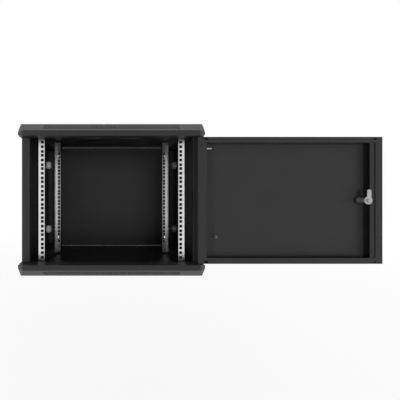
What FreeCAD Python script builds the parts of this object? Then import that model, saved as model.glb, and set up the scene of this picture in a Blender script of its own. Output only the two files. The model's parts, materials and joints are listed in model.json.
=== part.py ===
import FreeCAD, Part
import math
import os
import re
import Sketcher

# Wall mount network cabinet, 19-inch, nine units, with its door standing open.
# +X is the viewer's right, -Y the front, +Z up. The origin is the middle of the
# wall bolt pattern, on the back plane.

doc = FreeCAD.newDocument("wall_mount_network_cabinet")

dimensions = {
    # cabinet envelope
    "rackOpening": 450,  # clear width between the rails
    "sideSpace": 69,  # from the clear width to the outside of a side panel
    "earOverhang": 6,  # how far the bezels stand out past the side panels
    "height": 500,
    "depth": 450,
    # covers with their sloped bezels
    "coverSheet": 1.2,
    "slopeHeight": 31,
    "slopeDepth": 44,
    "bezelFace": 17,
    "lipDepth": 37,
    "lipReturn": 8,
    "earChamfer": 22,
    "earDepth": 55,
    "earCrest": 3,  # from the ear's end to its facet, where the slope ends
    "earRise": 14,  # of the ear's underside, from front to rear
    "sideFlange": 20,
    "rearFlange": 10,
    # vent slots in the slopes
    "ventPitch": 6,
    "ventWidth": 2.4,
    "ventLength": 32,
    "ventRowInset": 7,  # from the rack's clear width
    "ventDrill": 8,  # deep enough to pass the sloped sheet
    # fan grilles in the top cover
    "fanSpacing": 150,
    "fanBoltPitch": 105,
    "fanBoltRadius": 2.25,
    "fanMiddle": 225,  # behind the back plane's front, towards the door
    "grilleRadius": 55,
    "grillePitch": 11,
    "grilleSlot": 6,
    # cable entries and their cover plates
    "entryWidth": 300,
    "entryDepth": 60,
    "topEntryMiddle": 70,
    "bottomEntryMiddle": 198,
    "plateBorder": 12,
    # frame
    "frameSheet": 1.5,
    "frontPillarFace": 25,
    "frontPillarLeg": 40,
    "frontPillarReturn": 15,
    "keeperHalf": 25,  # half the height of the gap in the return for the lock's tongue
    "rearPillarFace": 48,
    "rearPillarLeg": 70,
    "rearPillarReturn": 23,
    "memberHeight": 35,
    "rearPanelOverlap": 8,
    "holeReach": 1,  # how far the drills run past a sheet
    # wall fixing holes in the rear pillars
    "wallHoleInset": 30,  # from the outside of a side panel
    "wallHoleUp": 400,
    "wallHoleRadius": 5,
    # 19-inch rack rails
    "rackHoleInset": 7.55,  # from the clear width to the middle of the hole row
    "railSheet": 2,
    "railFace": 20,
    "railFlange": 30,
    "railEnd": 6,  # below the cover plates
    "rackUnits": 9,
    "unitHeight": 44.45,
    "unitHoleStep": 15.875,
    "rackHole": 9.5,
    "frontRailSetback": 60,
    "rearRailSetback": 125,
    "railSlotLength": 60,
    # door
    "doorGap": 2,  # above and below
    "doorSheet": 1.2,
    "doorThickness": 25,
    "doorSetback": 7.5,
    "doorLip": 18.5,
    "hingeLip": 27,
    "lockLip": 37,
    "lockStep": 15,
    "stepDepth": 2.5,
    "hingeInset": 12.5,
    "doorSideGap": 4,  # from the outside of a side panel, with the door shut
    "hingeSetback": 20,
    "reliefLength": 13,
    "reliefRadius": 3,
    "reliefInset": 25,
    "reliefDrop": 6.5,
    # hinge pins
    "pinRadius": 4,
    "pinClearance": 0.3,
    "pinEngagement": 10,
    "pinTravel": 12,
    "handleDrop": 35,
    "handleReach": 36,
    "handleRadius": 3,
    "pinPoint": 2,  # length and end radius of the pin's tapered point
    "collarRadius": 5.5,
    "collarThickness": 2,
    "collarDrop": 5,
    "springWire": 1,
    "springTurns": 5,
    "springPlay": 0.1,
    "washerPlay": 0.2,
    "bottomPinDepth": 5,
    # door lock
    "lockInset": 53,
    "barrelRadius": 9,
    "lockFlangeRadius": 14,
    "lockFlangeThickness": 2,
    "barrelLength": 31,
    "nutAcrossFlats": 25,
    "nutThickness": 5,
    "camThickness": 2.5,
    "camHeadRadius": 12.5,
    "camWidth": 13,
    "camReach": 34,
    "camOffset": 3,  # the tongue stands nearer the door's free edge than the lock's axis
    "camTipWidth": 8,
    "camTipLength": 3,
    "plugRadius": 6.5,
    "plugRecess": 0.4,
    "keywayWidth": 1.8,
    "keywayLength": 7.6,
    "keywayDepth": 6,
    "fitClearance": 0.3,
    # side panels and their quarter-turn latches
    "panelReturn": 8,
    "panelFront": 57,  # behind the front of the bezels
    "latchDrop": 105,  # below the cabinet's top, and as far above its lowest face
    "latchSetback": 92,
    "latchBarrelLength": 25,
    "latchReach": 26,
    "domeRadius": 17,  # round nut that clamps the latch
    "domeHeight": 19,
    # fasteners
    "screwRadius": 2.5,
    "screwHeadRadius": 4.6,
    "screwCrownRadius": 2.8,
    "screwHead": 2.4,
    "screwPoint": 4,  # how far a screw stands through the sheets
    "boltRadius": 3,
    "boltHeadFlats": 10,
    "boltHead": 4,
    "boltHoleGap": 0.15,
    "boltEnd": 1,  # how far a bolt stands through its nut
    "threadGap": 0.05,
    "studLength": 18,
    "cabinetStudUp": 25,  # above the cabinet's lowest face
    "doorStudUp": 82,  # above the door's lower edge
    "doorStudInset": 61,  # from the door's hinge edge
}

sheet = doc.addObject("Spreadsheet::Sheet", "sizes")
for row, (alias, value) in enumerate(dimensions.items(), start=1):
    sheet.set(f"A{row}", alias)
    sheet.set(f"B{row}", str(value))
    sheet.setAlias(f"B{row}", alias)
doc.recompute()


def spell(formula):
    """The formula with each size written as a cell of the sheet."""
    return re.sub(r"[A-Za-z]+", lambda m: f"sizes.{m[0]}" if m[0] in dimensions else m[0], str(formula))


def size(formula):
    """The value of a formula in the sheet's sizes."""
    return float(sheet.evalExpression(spell(formula)))


def bind(thing, path, formula):
    thing.setExpression(path, spell(formula))


# ---------------------------------------------------------------- derived places

bodyHalf = "(rackOpening / 2 + sideSpace)"
bodyWidth = f"(2 * {bodyHalf})"
bezelHalf = f"({bodyHalf} + earOverhang)"
bezelFront = "(-depth)"
openingHalf = "(height / 2 - slopeHeight - bezelFace)"
plateInside = "(height / 2 - coverSheet)"
flangeEdge = "(height / 2 - sideFlange)"
frameOut = f"({bodyHalf} - coverSheet)"
frameIn = f"({frameOut} - frameSheet)"
pillarFront = "(lipDepth - depth)"
pillarBack = f"({pillarFront} + frameSheet)"
memberIn = "(rackOpening / 2 + railFace)"
memberLow = f"({plateInside} - memberHeight)"
panelTop = "(height / 2 - sideFlange - fitClearance)"
doorHalf = f"({openingHalf} - doorGap)"
doorFront = "(doorSetback - depth)"
doorBack = "(doorSetback + doorThickness - depth)"
hingeAcross = f"({bodyHalf} - hingeInset)"
hingeBack = "(hingeSetback - depth)"
doorNear = f"({hingeAcross} - hingeInset + doorSideGap)"
doorFar = f"({doorNear} + {bodyWidth} - 2 * doorSideGap)"
lockAcross = f"({doorFar} - lockInset)"
frontRailFace = "(frontRailSetback - depth)"
rearRailBack = "(-rearRailSetback)"
latchLevel = "(height / 2 - latchDrop)"
bolted = "(screwRadius + boltHoleGap)"  # radius of a clearance hole for a screw
railBolted = "(boltRadius + boltHoleGap)"
pinBore = "(pinRadius + pinClearance)"
cornerLevel = "(height / 2 - sideFlange / 2)"  # screws between covers and pillars
frontScrew = "(panelFront - depth + frontPillarLeg / 3)"
rearScrew = "(-rearPillarLeg / 2)"
plateAcross, plateAlong = "(entryWidth / 2 + plateBorder)", "(entryDepth / 2 + plateBorder)"
plateScrewAcross = "(entryWidth / 2 + plateBorder / 2)"
plateScrewAlong = "(entryDepth / 2 + plateBorder / 2)"
handleLevel = f"({doorHalf} - handleDrop)"
bracketLevel = f"({handleLevel} + handleRadius + pinClearance)"
collarHigh = f"({doorHalf} - collarDrop)"


# ---------------------------------------------------------------- sketch helpers


def holdPoint(sketch, curve, end, x, y):
    """Fixes one point of a sketch at a pair of formulas."""
    for kind, formula in (("DistanceX", x), ("DistanceY", y)):
        mark = sketch.addConstraint(Sketcher.Constraint(kind, -1, 1, curve, end, size(formula)))
        bind(sketch, f"Constraints[{mark}]", formula)


def polygon(sketch, points):
    """One closed outline of straight lines."""
    first = sketch.GeometryCount
    places = [FreeCAD.Vector(size(x), size(y), 0) for x, y in points]
    for here, there in zip(places, places[1:] + places[:1]):
        sketch.addGeometry(Part.LineSegment(here, there))
    for i, (x, y) in enumerate(points):
        after = first + (i + 1) % len(points)
        sketch.addConstraint(Sketcher.Constraint("Coincident", first + i, 2, after, 1))
        holdPoint(sketch, first + i, 1, x, y)


def circle(sketch, x, y, radius):
    middle = FreeCAD.Vector(size(x), size(y), 0)
    curve = sketch.addGeometry(Part.Circle(middle, FreeCAD.Vector(0, 0, 1), size(radius)))
    holdPoint(sketch, curve, 3, x, y)
    mark = sketch.addConstraint(Sketcher.Constraint("Radius", curve, size(radius)))
    bind(sketch, f"Constraints[{mark}]", radius)


def slot(sketch, x, y, length, radius):
    """A round-ended slot along the sketch's first axis."""
    up = FreeCAD.Vector(0, 0, 1)
    half = f"({length} / 2 - {radius})"
    cx, cy, reach, r = size(x), size(y), size(half), size(radius)
    right = sketch.addGeometry(
        Part.ArcOfCircle(Part.Circle(FreeCAD.Vector(cx + reach, cy, 0), up, r), -math.pi / 2, math.pi / 2)
    )
    left = sketch.addGeometry(
        Part.ArcOfCircle(Part.Circle(FreeCAD.Vector(cx - reach, cy, 0), up, r), math.pi / 2, 3 * math.pi / 2)
    )
    top = sketch.addGeometry(
        Part.LineSegment(FreeCAD.Vector(cx + reach, cy + r, 0), FreeCAD.Vector(cx - reach, cy + r, 0))
    )
    low = sketch.addGeometry(
        Part.LineSegment(FreeCAD.Vector(cx - reach, cy - r, 0), FreeCAD.Vector(cx + reach, cy - r, 0))
    )
    ring = (right, top, left, low)
    for curve, other in zip(ring, ring[1:] + ring[:1]):
        sketch.addConstraint(Sketcher.Constraint("Tangent", curve, 2, other, 1))
    holdPoint(sketch, right, 3, f"{x} + {half}", y)
    holdPoint(sketch, left, 3, f"{x} - {half}", y)
    mark = sketch.addConstraint(Sketcher.Constraint("Radius", right, r))
    bind(sketch, f"Constraints[{mark}]", radius)


def rectangle(x0, y0, x1, y1):
    return [(x0, y0), (x1, y0), (x1, y1), (x0, y1)]


def hexagon(x, y, flats):
    """Corners of a hexagon with two corners up and down."""
    corners = []
    reach = f"{flats} / {math.sqrt(3):.6f}"
    for k in range(6):
        across, up = math.cos(math.radians(60 * k + 30)), math.sin(math.radians(60 * k + 30))
        corners.append((f"{x} + {reach} * {across:.6f}", f"{y} + {reach} * {up:.6f}"))
    return corners


def newBody(label):
    body = doc.addObject("PartDesign::Body", label)
    body.Label = label
    return body


def sketchAt(body, plane, level):
    """A sketch on one of the body's origin planes, moved to a level of its axis."""
    sketch = body.newObject("Sketcher::SketchObject", f"{body.Name}_sketch")
    support = [f for f in body.Origin.OriginFeatures if f.Role == f"{plane}_Plane"][0]
    sketch.AttachmentSupport = [(support, "")]
    sketch.MapMode = "FlatFace"
    bind(sketch, "AttachmentOffset.Base.z", f"-({level})" if plane == "XZ" else level)
    return sketch


def prism(body, plane, shapes, low, high, cut=False):
    """Adds, or cuts, the outlines between two levels of the plane's axis.

    A shape is a list of corners, ("circle", x, y, radius) or
    ("slot", x, y, length, radius). A pad grows along its sketch's normal and a
    pocket against it, and the XZ plane's normal points to -Y.
    """
    upward = plane != "XZ"
    sketch = sketchAt(body, plane, low if upward != cut else high)
    for shape in shapes:
        if shape[0] == "circle":
            circle(sketch, *shape[1:])
        elif shape[0] == "slot":
            slot(sketch, *shape[1:])
        else:
            polygon(sketch, shape)
    kind = "Pocket" if cut else "Pad"
    feature = body.newObject(f"PartDesign::{kind}", f"{body.Name}_{kind.lower()}")
    feature.Profile = sketch
    feature.Type = 0
    bind(feature, "Length", f"({high}) - ({low})")
    sketch.Visibility = False
    doc.recompute()
    return feature


def bored(body, plane, shapes, low, high):
    return prism(body, plane, shapes, low, high, cut=True)


def turned(body, profile):
    """Turns an outline of the XY plane about the body's own X axis."""
    sketch = sketchAt(body, "XY", "0")
    polygon(sketch, profile)
    feature = body.newObject("PartDesign::Revolution", f"{body.Name}_turn")
    feature.Profile = sketch
    feature.ReferenceAxis = (sketch, ["H_Axis"])
    feature.Angle = 360
    sketch.Visibility = False
    doc.recompute()
    return feature


def mirrored(label, source, normal):
    """The source's mirror image through the origin, as a sub-part of its own."""
    image = doc.addObject("Part::Mirroring", label)
    image.Source = source
    image.Normal = normal
    image.Base = FreeCAD.Vector(0, 0, 0)
    image.Label = label
    return image


acrossX = FreeCAD.Vector(1, 0, 0)
acrossZ = FreeCAD.Vector(0, 0, 1)
subparts = []


def keep(*things):
    subparts.extend(things)
    return things[0]


def feature(label, shape):
    """A sub-part whose shape is made with Part's own functions."""
    thing = doc.addObject("Part::Feature", label)
    thing.Label = label
    thing.Shape = shape
    return keep(thing)


def box(x0, y0, z0, x1, y1, z1):
    """A block between two corners given as formulas."""
    low = FreeCAD.Vector(size(x0), size(y0), size(z0))
    high = FreeCAD.Vector(size(x1), size(y1), size(z1))
    return Part.makeBox(high.x - low.x, high.y - low.y, high.z - low.z, low)


def rod(radius, length, start, direction):
    return Part.makeCylinder(size(radius), size(length), start, direction)


# ---------------------------------------------------------------- covers


def beyond(point, normal):
    """A large block on the far side of a plane."""
    reach = 4 * size(f"{bezelHalf} + depth + height")
    block = Part.makeBox(reach, reach, reach, FreeCAD.Vector(-reach / 2, -reach / 2, 0))
    turn = FreeCAD.Rotation(FreeCAD.Vector(0, 0, 1), normal)
    block.Placement = FreeCAD.Placement(point, turn)
    return block


def hoodForm(inset):
    """The bezel's outer form, or its hollow when every face is moved in by the sheet.

    A box as wide as the ears, cut by the slope, by an upright chamfer at each
    corner and by a facet that leads each chamfer back over the slope. The ears'
    undersides rise towards the rear.
    """
    half, top, low = size(bezelHalf), size("height / 2"), size(openingHalf)
    chamfer = size("earChamfer")
    front, rear = size(bezelFront), size("earDepth - depth")
    form = Part.makeBox(
        2 * (half - inset), rear - front - 2 * inset, top - low - 2 * inset,
        FreeCAD.Vector(inset - half, front + inset, low + inset),
    )
    slopeFoot = FreeCAD.Vector(0, front, top - size("slopeHeight"))
    slopeNormal = FreeCAD.Vector(0, -size("slopeHeight"), size("slopeDepth")).normalize()
    planes = [(slopeFoot, slopeNormal)]
    for side in (-1, 1):
        corner = FreeCAD.Vector(side * (half - chamfer), front, slopeFoot.z)
        rim = FreeCAD.Vector(side * half, front + chamfer, slopeFoot.z)
        crest = FreeCAD.Vector(side * (half - size("earCrest")), front + size("slopeDepth"), top)
        facet = (rim - corner).cross(crest - corner).normalize() * side
        planes.append((corner, FreeCAD.Vector(side, -1, 0).normalize()))
        planes.append((corner, facet))
    for point, normal in planes:
        form = form.cut(beyond(point - normal * inset, normal))
    under = FreeCAD.Vector(0, size("earRise"), -size("earDepth")).normalize()
    below = beyond(FreeCAD.Vector(0, front, low) - under * inset, under)
    for side in (-1, 1):
        flank = FreeCAD.Vector(side * (size(bodyHalf) - inset), front, low)
        form = form.cut(below.common(beyond(flank, FreeCAD.Vector(side, 0, 0))))
    return form


def ventSlots():
    """One row of narrow slots that run up the slope, side by side."""
    rise, run = size("slopeHeight"), size("slopeDepth")
    count = int(size("(rackOpening - 2 * ventRowInset) / ventPitch")) + 1
    length, width, through = size("ventLength"), size("ventWidth"), size("ventDrill")
    middle = FreeCAD.Vector(0, size(bezelFront) + run / 2, size("height / 2") - rise / 2)
    tilt = FreeCAD.Rotation(FreeCAD.Vector(1, 0, 0), math.degrees(math.atan2(rise, run)))
    slots = []
    for k in range(count):
        block = Part.makeBox(width, length, through, FreeCAD.Vector(-width / 2, -length / 2, -through / 2))
        across = FreeCAD.Vector((k - (count - 1) / 2) * size("ventPitch"), 0, 0)
        block.Placement = FreeCAD.Placement(middle + across, tilt)
        slots.append(block)
    return slots


def screwHoles(places, radius, direction):
    """Short drills centred on the places, to clear a sheet on both sides."""
    half = size("coverSheet + 2 * frameSheet + holeReach")
    return [
        Part.makeCylinder(size(radius), 2 * half, place - direction * half, direction)
        for place in places
    ]


def cornerScrewPlaces():
    """Where the covers are screwed to the pillars: two screws a side, above and below."""
    across, level = size(bodyHalf), size(cornerLevel)
    return [
        FreeCAD.Vector(side * across, size(y), up * level)
        for side in (-1, 1) for y in (frontScrew, rearScrew) for up in (-1, 1)
    ]


def fanCuts():
    """Straight grille slots inside a circle, and four fan bolt holes, for each fan."""
    cuts = []
    level = size(plateInside) - size("coverSheet")
    depthOfCut = size("4 * coverSheet")
    radius, pitch, wide = size("grilleRadius"), size("grillePitch"), size("grilleSlot")
    bars = int(radius / pitch)
    for side in (-1, 1):
        middle = FreeCAD.Vector(side * size("fanSpacing / 2"), -size("fanMiddle"), level)
        for k in range(-bars, bars + 1):
            chord = math.sqrt(radius**2 - (k * pitch) ** 2)
            if chord > wide:
                corner = middle + FreeCAD.Vector(-chord, k * pitch - wide / 2, 0)
                cuts.append(Part.makeBox(2 * chord, wide, depthOfCut, corner))
        reach = size("fanBoltPitch / 2")
        for dx in (-reach, reach):
            for dy in (-reach, reach):
                hole = middle + FreeCAD.Vector(dx, dy, 0)
                cuts.append(Part.makeCylinder(size("fanBoltRadius"), depthOfCut, hole))
    return cuts


def plateScrewPlaces(middle):
    """The four corners of a cable plate's border, on the cover plate's inner face."""
    across, along = size(plateScrewAcross), size(plateScrewAlong)
    return [
        FreeCAD.Vector(dx, -size(middle) + dy, size(plateInside))
        for dx in (-across, across) for dy in (-along, along)
    ]


def coverShell(entryMiddle):
    """One folded cover, as the top one: bezel, plate, flanges, cable entry and holes."""
    body = box(f"-{bodyHalf}", pillarFront, flangeEdge, bodyHalf, "-frameSheet", "height / 2")
    hollow = box(f"-{frameOut}", pillarFront, "0", frameOut, "-frameSheet - coverSheet", plateInside)
    rearTrim = box(
        f"-{frameOut}", "-frameSheet - 2 * coverSheet", "0", frameOut, "0", "height / 2 - rearFlange"
    )
    sheetOut = hoodForm(0).fuse(body)
    inside = hoodForm(size("coverSheet")).fuse([hollow, rearTrim])
    cornerLow = size("height / 2 - rearFlange - coverSheet")
    corners = [
        Part.makeBox(
            size("frameSheet"), size("2 * coverSheet"), size(plateInside) - cornerLow,
            FreeCAD.Vector(x, -size("frameSheet + 2 * coverSheet"), cornerLow),
        )
        for x in (size(frameIn), -size(frameOut))
    ]
    shell = sheetOut.cut(inside).cut(corners)
    lip = box(
        f"-{frameOut}", f"{pillarFront} - coverSheet", f"{openingHalf}",
        frameOut, pillarFront, f"{openingHalf} + lipReturn",
    )
    shell = shell.fuse(lip)
    entry = box(
        "-entryWidth / 2", f"-{entryMiddle} - entryDepth / 2", flangeEdge,
        "entryWidth / 2", f"-{entryMiddle} + entryDepth / 2", "height",
    )
    holes = screwHoles(cornerScrewPlaces(), bolted, acrossX)
    holes += screwHoles(plateScrewPlaces(entryMiddle), bolted, acrossZ)
    hinge = FreeCAD.Vector(size(hingeAcross), size(hingeBack), size(f"{openingHalf} - holeReach"))
    holes.append(rod(pinBore, "coverSheet + 2 * holeReach", hinge, acrossZ))
    return shell.cut([entry] + holes + ventSlots())


def flipped(shape):
    """The mirror image of a shape in the level plane."""
    return shape.mirror(FreeCAD.Vector(0, 0, 0), acrossZ)


feature("top_cover", coverShell("topEntryMiddle").cut(fanCuts()).removeSplitter())
feature("bottom_cover", flipped(coverShell("bottomEntryMiddle")).removeSplitter())


def cablePlate(label, middle, up):
    """The plate that closes a cable entry from inside, screwed at its corners."""
    plate = newBody(label)
    low, high = f"{plateInside} - coverSheet", plateInside
    if up < 0:
        low, high = f"-{plateInside}", f"coverSheet - {plateInside}"
    near, far = f"-{middle} - {plateAlong}", f"-{middle} + {plateAlong}"
    prism(plate, "XY", [rectangle(f"-{plateAcross}", near, plateAcross, far)], low, high)
    holes = [
        ("circle", f"{sx} * {plateScrewAcross}", f"-{middle} + {sy} * {plateScrewAlong}", bolted)
        for sx in (-1, 1) for sy in (-1, 1)
    ]
    bored(plate, "XY", holes, low, high)
    return keep(plate)


cablePlate("cable_plate_top", "topEntryMiddle", 1)
cablePlate("cable_plate_bottom", "bottomEntryMiddle", -1)


# ---------------------------------------------------------------- frame


def frontPillar():
    """A channel: a face behind the bezels' lips, a leg along the side and a short return.

    The return stops short of the depth members, and is cut away at mid-height,
    where the door lock's tongue passes.
    """
    pillar = newBody("front_pillar_right")
    inner = f"({frameOut} - frontPillarFace)"
    legEnd, returnEnd = f"({pillarFront} + frontPillarLeg)", f"({pillarFront} + frontPillarReturn)"
    profile = [
        (inner, pillarFront), (frameOut, pillarFront), (frameOut, legEnd), (frameIn, legEnd),
        (frameIn, pillarBack), (f"{inner} + frameSheet", pillarBack),
        (f"{inner} + frameSheet", returnEnd), (inner, returnEnd),
    ]
    prism(pillar, "XY", [profile], f"-{plateInside}", plateInside)
    gap = rectangle(
        f"{inner} - holeReach", pillarBack, f"{inner} + frameSheet", f"{returnEnd} + holeReach"
    )
    clear, beyondPlate = f"({memberLow} - fitClearance)", f"({plateInside} + holeReach)"
    levels = ((clear, beyondPlate), ("-keeperHalf", "keeperHalf"), (f"-{beyondPlate}", f"-{clear}"))
    for low, high in levels:
        bored(pillar, "XY", [gap], low, high)
    holes = [("circle", frontScrew, f"{up} * {cornerLevel}", bolted) for up in (-1, 1)]
    bored(pillar, "YZ", holes, f"{frameIn} - holeReach", f"{frameOut} + holeReach")
    return keep(pillar)


def rearPillar():
    """A hat-shaped upright: wall face, side leg and a return that the side latches hook on."""
    pillar = newBody("rear_pillar_right")
    wallEdge, hook = f"({frameOut} - rearPillarFace)", f"({frameOut} - rearPillarReturn)"
    profile = [
        (wallEdge, "0"), (wallEdge, "-frameSheet"), (frameIn, "-frameSheet"),
        (frameIn, "frameSheet - rearPillarLeg"), (hook, "frameSheet - rearPillarLeg"),
        (hook, "-rearPillarLeg"), (frameOut, "-rearPillarLeg"), (frameOut, "0"),
    ]
    prism(pillar, "XY", [profile], f"-{plateInside}", plateInside)
    holes = [("circle", rearScrew, f"{up} * {cornerLevel}", bolted) for up in (-1, 1)]
    bored(pillar, "YZ", holes, f"{frameIn} - holeReach", f"{frameOut} + holeReach")
    across = f"{bodyHalf} - wallHoleInset"
    wall = [("circle", across, f"{up} * wallHoleUp / 2", "wallHoleRadius") for up in (-1, 1)]
    bored(pillar, "XZ", wall, "-frameSheet - holeReach", "holeReach")
    clear, beyondPlate = f"({memberLow} - fitClearance)", f"({plateInside} + holeReach)"
    notch = rectangle(
        f"{hook} - holeReach", "-rearPillarLeg - holeReach",
        frameIn, "frameSheet - rearPillarLeg + holeReach",
    )
    bored(pillar, "XY", [notch], clear, beyondPlate)
    bored(pillar, "XY", [notch], f"-{beyondPlate}", f"-{clear}")
    return keep(pillar)


def depthMember():
    """A channel from front to rear, open to the outside, with slots for the rack rails."""
    member = newBody("depth_member_top_right")
    low, high, web = memberLow, plateInside, f"({memberIn} + frameSheet)"
    profile = [
        (memberIn, low), (frameIn, low),
        (frameIn, f"{low} + frameSheet"), (web, f"{low} + frameSheet"),
        (web, f"{high} - frameSheet"), (frameIn, f"{high} - frameSheet"),
        (frameIn, high), (memberIn, high),
    ]
    prism(member, "XZ", [profile], pillarBack, "-frameSheet - coverSheet")
    middle = f"({low} + memberHeight / 2)"
    places = (
        f"({frontRailFace} + railFlange / 2 + railSheet)",
        f"({rearRailBack} - railFlange / 2 - railSheet)",
    )
    slots = [("slot", place, middle, "railSlotLength", railBolted) for place in places]
    bored(member, "YZ", slots, f"{memberIn} - holeReach", f"{web} + holeReach")
    return keep(member)


def rearPanel():
    panel = newBody("rear_panel")
    half = f"({frameOut} - rearPillarFace + rearPanelOverlap)"
    top = "(height / 2 - rearFlange - fitClearance)"
    outline = rectangle(f"-{half}", f"-{top}", half, top)
    prism(panel, "XZ", [outline], "-frameSheet - coverSheet", "-frameSheet")
    return keep(panel)


pillarFrontRight = frontPillar()
pillarRearRight = rearPillar()
memberTopRight = depthMember()
rearPanel()
keep(mirrored("front_pillar_left", pillarFrontRight, acrossX))
keep(mirrored("rear_pillar_left", pillarRearRight, acrossX))
memberTopLeft = keep(mirrored("depth_member_top_left", memberTopRight, acrossX))
keep(mirrored("depth_member_bottom_right", memberTopRight, acrossZ))
keep(mirrored("depth_member_bottom_left", memberTopLeft, acrossZ))


# ---------------------------------------------------------------- rack rails


def rackRail(label, faceFront, flangeFront, flangeBack):
    """A 19-inch rail: a face with three square holes a unit, and a side flange."""
    rail = newBody(label)
    top = f"({plateInside} - railEnd)"
    inner, outer = "(rackOpening / 2)", memberIn
    face = rectangle(inner, faceFront, outer, f"{faceFront} + railSheet")
    flange = rectangle(f"{outer} - railSheet", flangeFront, outer, flangeBack)
    prism(rail, "XY", [face], f"-{top}", top)
    prism(rail, "XY", [flange], f"-{top}", top)
    half, middle = "(rackHole / 2)", "(rackOpening / 2 + rackHoleInset)"
    firstHole = "(-rackUnits * unitHeight / 2 + unitHeight / 2 - unitHoleStep)"
    squares = [
        rectangle(
            f"{middle} - {half}", f"{firstHole} + {k} * unitHoleStep - {half}",
            f"{middle} + {half}", f"{firstHole} + {k} * unitHoleStep + {half}",
        )
        for k in range(3)
    ]
    ends = (f"{faceFront} - holeReach", f"{faceFront} + railSheet + holeReach")
    holes = bored(rail, "XZ", squares, *ends)
    pattern = rail.newObject("PartDesign::LinearPattern", f"{rail.Name}_units")
    pattern.Originals = [holes]
    pattern.Direction = (holes.Profile[0], ["V_Axis"])
    bind(pattern, "Length", "(rackUnits - 1) * unitHeight")
    bind(pattern, "Occurrences", "rackUnits")
    rail.Tip = pattern
    doc.recompute()
    level = f"({memberLow} + memberHeight / 2)"
    along = f"({flangeFront} + {flangeBack}) / 2"
    bolts = [("circle", along, f"{up} * {level}", railBolted) for up in (-1, 1)]
    bored(rail, "YZ", bolts, f"{outer} - railSheet - holeReach", f"{outer} + holeReach")
    return keep(rail)


frontFlange = (f"({frontRailFace} + railSheet)", f"({frontRailFace} + railSheet + railFlange)")
rearFlangePlace = (f"({rearRailBack} - railSheet - railFlange)", f"({rearRailBack} - railSheet)")
railFrontRight = rackRail("rack_rail_front_right", frontRailFace, *frontFlange)
railRearRight = rackRail("rack_rail_rear_right", f"({rearRailBack} - railSheet)", *rearFlangePlace)
keep(mirrored("rack_rail_front_left", railFrontRight, acrossX))
keep(mirrored("rack_rail_rear_left", railRearRight, acrossX))


# ---------------------------------------------------------------- door


def doorPanel():
    """A tray of folded sheet with lips all round, stepped on the lock side."""
    door = newBody("door_panel")
    near, far, front, back = doorNear, doorFar, doorFront, doorBack
    wall, half = "doorSheet", doorHalf
    step = f"({far} - lockLip + lockStep)"
    lipInside, stepFront = f"({front} + {wall})", f"({front} + stepDepth)"
    hollowNear, hollowFar, hollowBack = f"({near} + {wall})", f"({far} - {wall})", f"({back} - {wall})"
    profile = [
        (near, front), (f"{near} + hingeLip", front),
        (f"{near} + hingeLip", lipInside), (hollowNear, lipInside),
        (hollowNear, hollowBack), (hollowFar, hollowBack),
        (hollowFar, lipInside), (f"{step} + {wall}", lipInside),
        (f"{step} + {wall}", f"{stepFront} + {wall}"), (f"{far} - lockLip", f"{stepFront} + {wall}"),
        (f"{far} - lockLip", stepFront), (step, stepFront),
        (step, front), (far, front), (far, back), (near, back),
    ]
    prism(door, "XY", [profile], f"-{half}", half)
    for low, high in ((f"{half} - {wall}", half), (f"-{half}", f"{wall} - {half}")):
        prism(door, "XY", [rectangle(near, front, far, back)], low, high)
    for low, high in ((f"{half} - doorLip", half), (f"-{half}", f"doorLip - {half}")):
        prism(door, "XZ", [rectangle(near, low, far, high)], front, lipInside)
    reliefs = [
        ("slot", x, f"{up} * ({half} - reliefDrop)", "reliefLength", "reliefRadius")
        for x in (f"{near} + reliefInset", f"{far} - reliefInset") for up in (-1, 1)
    ]
    reliefs.append(("circle", hingeAcross, f"{half} - reliefInset", "reliefRadius"))
    bored(door, "XZ", reliefs, f"{front} - holeReach", f"{lipInside} + holeReach")
    lockHole = [("circle", lockAcross, "0", "barrelRadius + boltHoleGap")]
    bored(door, "XZ", lockHole, f"{hollowBack} - holeReach", f"{back} + holeReach")
    pinHole = [("circle", hingeAcross, hingeBack, pinBore)]
    bored(door, "XY", pinHole, f"{half} - {wall} - holeReach", f"{half} + holeReach")
    bored(door, "XY", pinHole, f"-{half} - holeReach", f"{wall} - {half} + holeReach")
    return keep(door)


def hingeBracket():
    """The angle spot-welded in the hinge-side fold that guides the sprung pin."""
    bracket = newBody("hinge_bracket")
    low, high = bracketLevel, f"({bracketLevel} + frameSheet)"
    inside, edge = f"({doorNear} + doorSheet)", f"({doorNear} + hingeLip - 2 * doorSheet)"
    top = f"({doorHalf} - 2 * doorSheet)"
    profile = [
        (inside, low), (edge, low), (edge, high),
        (f"{inside} + frameSheet", high), (f"{inside} + frameSheet", top), (inside, top),
    ]
    prism(bracket, "XZ", [profile], f"{doorFront} + 2 * doorSheet", f"{doorBack} - doorSheet")
    pinHole = [("circle", hingeAcross, hingeBack, pinBore)]
    bored(bracket, "XY", pinHole, f"{low} - holeReach", f"{high} + holeReach")
    return keep(bracket)


def hingePinTop():
    """The sprung pin: a rod with a collar and a bent pull handle."""
    axis = FreeCAD.Vector(size(hingeAcross), size(hingeBack), 0)
    bend = axis + acrossZ * size(handleLevel)
    pointLow = f"({openingHalf} + pinEngagement - pinPoint)"
    shank = rod("pinRadius", f"{pointLow} - {handleLevel}", bend, acrossZ)
    point = Part.makeCone(
        size("pinRadius"), size("pinPoint"), size("pinPoint"), axis + acrossZ * size(pointLow)
    )
    collarLow = axis + acrossZ * size(f"{collarHigh} - collarThickness")
    collar = rod("collarRadius", "collarThickness", collarLow, acrossZ)
    handle = rod("handleRadius", "handleReach", bend, acrossX)
    elbow = Part.makeSphere(size("pinRadius"), bend)
    knobEnd = Part.makeSphere(size("handleRadius"), bend + acrossX * size("handleReach"))
    pin = shank.fuse([point, collar, handle, elbow, knobEnd])
    return feature("hinge_pin_top", pin.removeSplitter())


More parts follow.
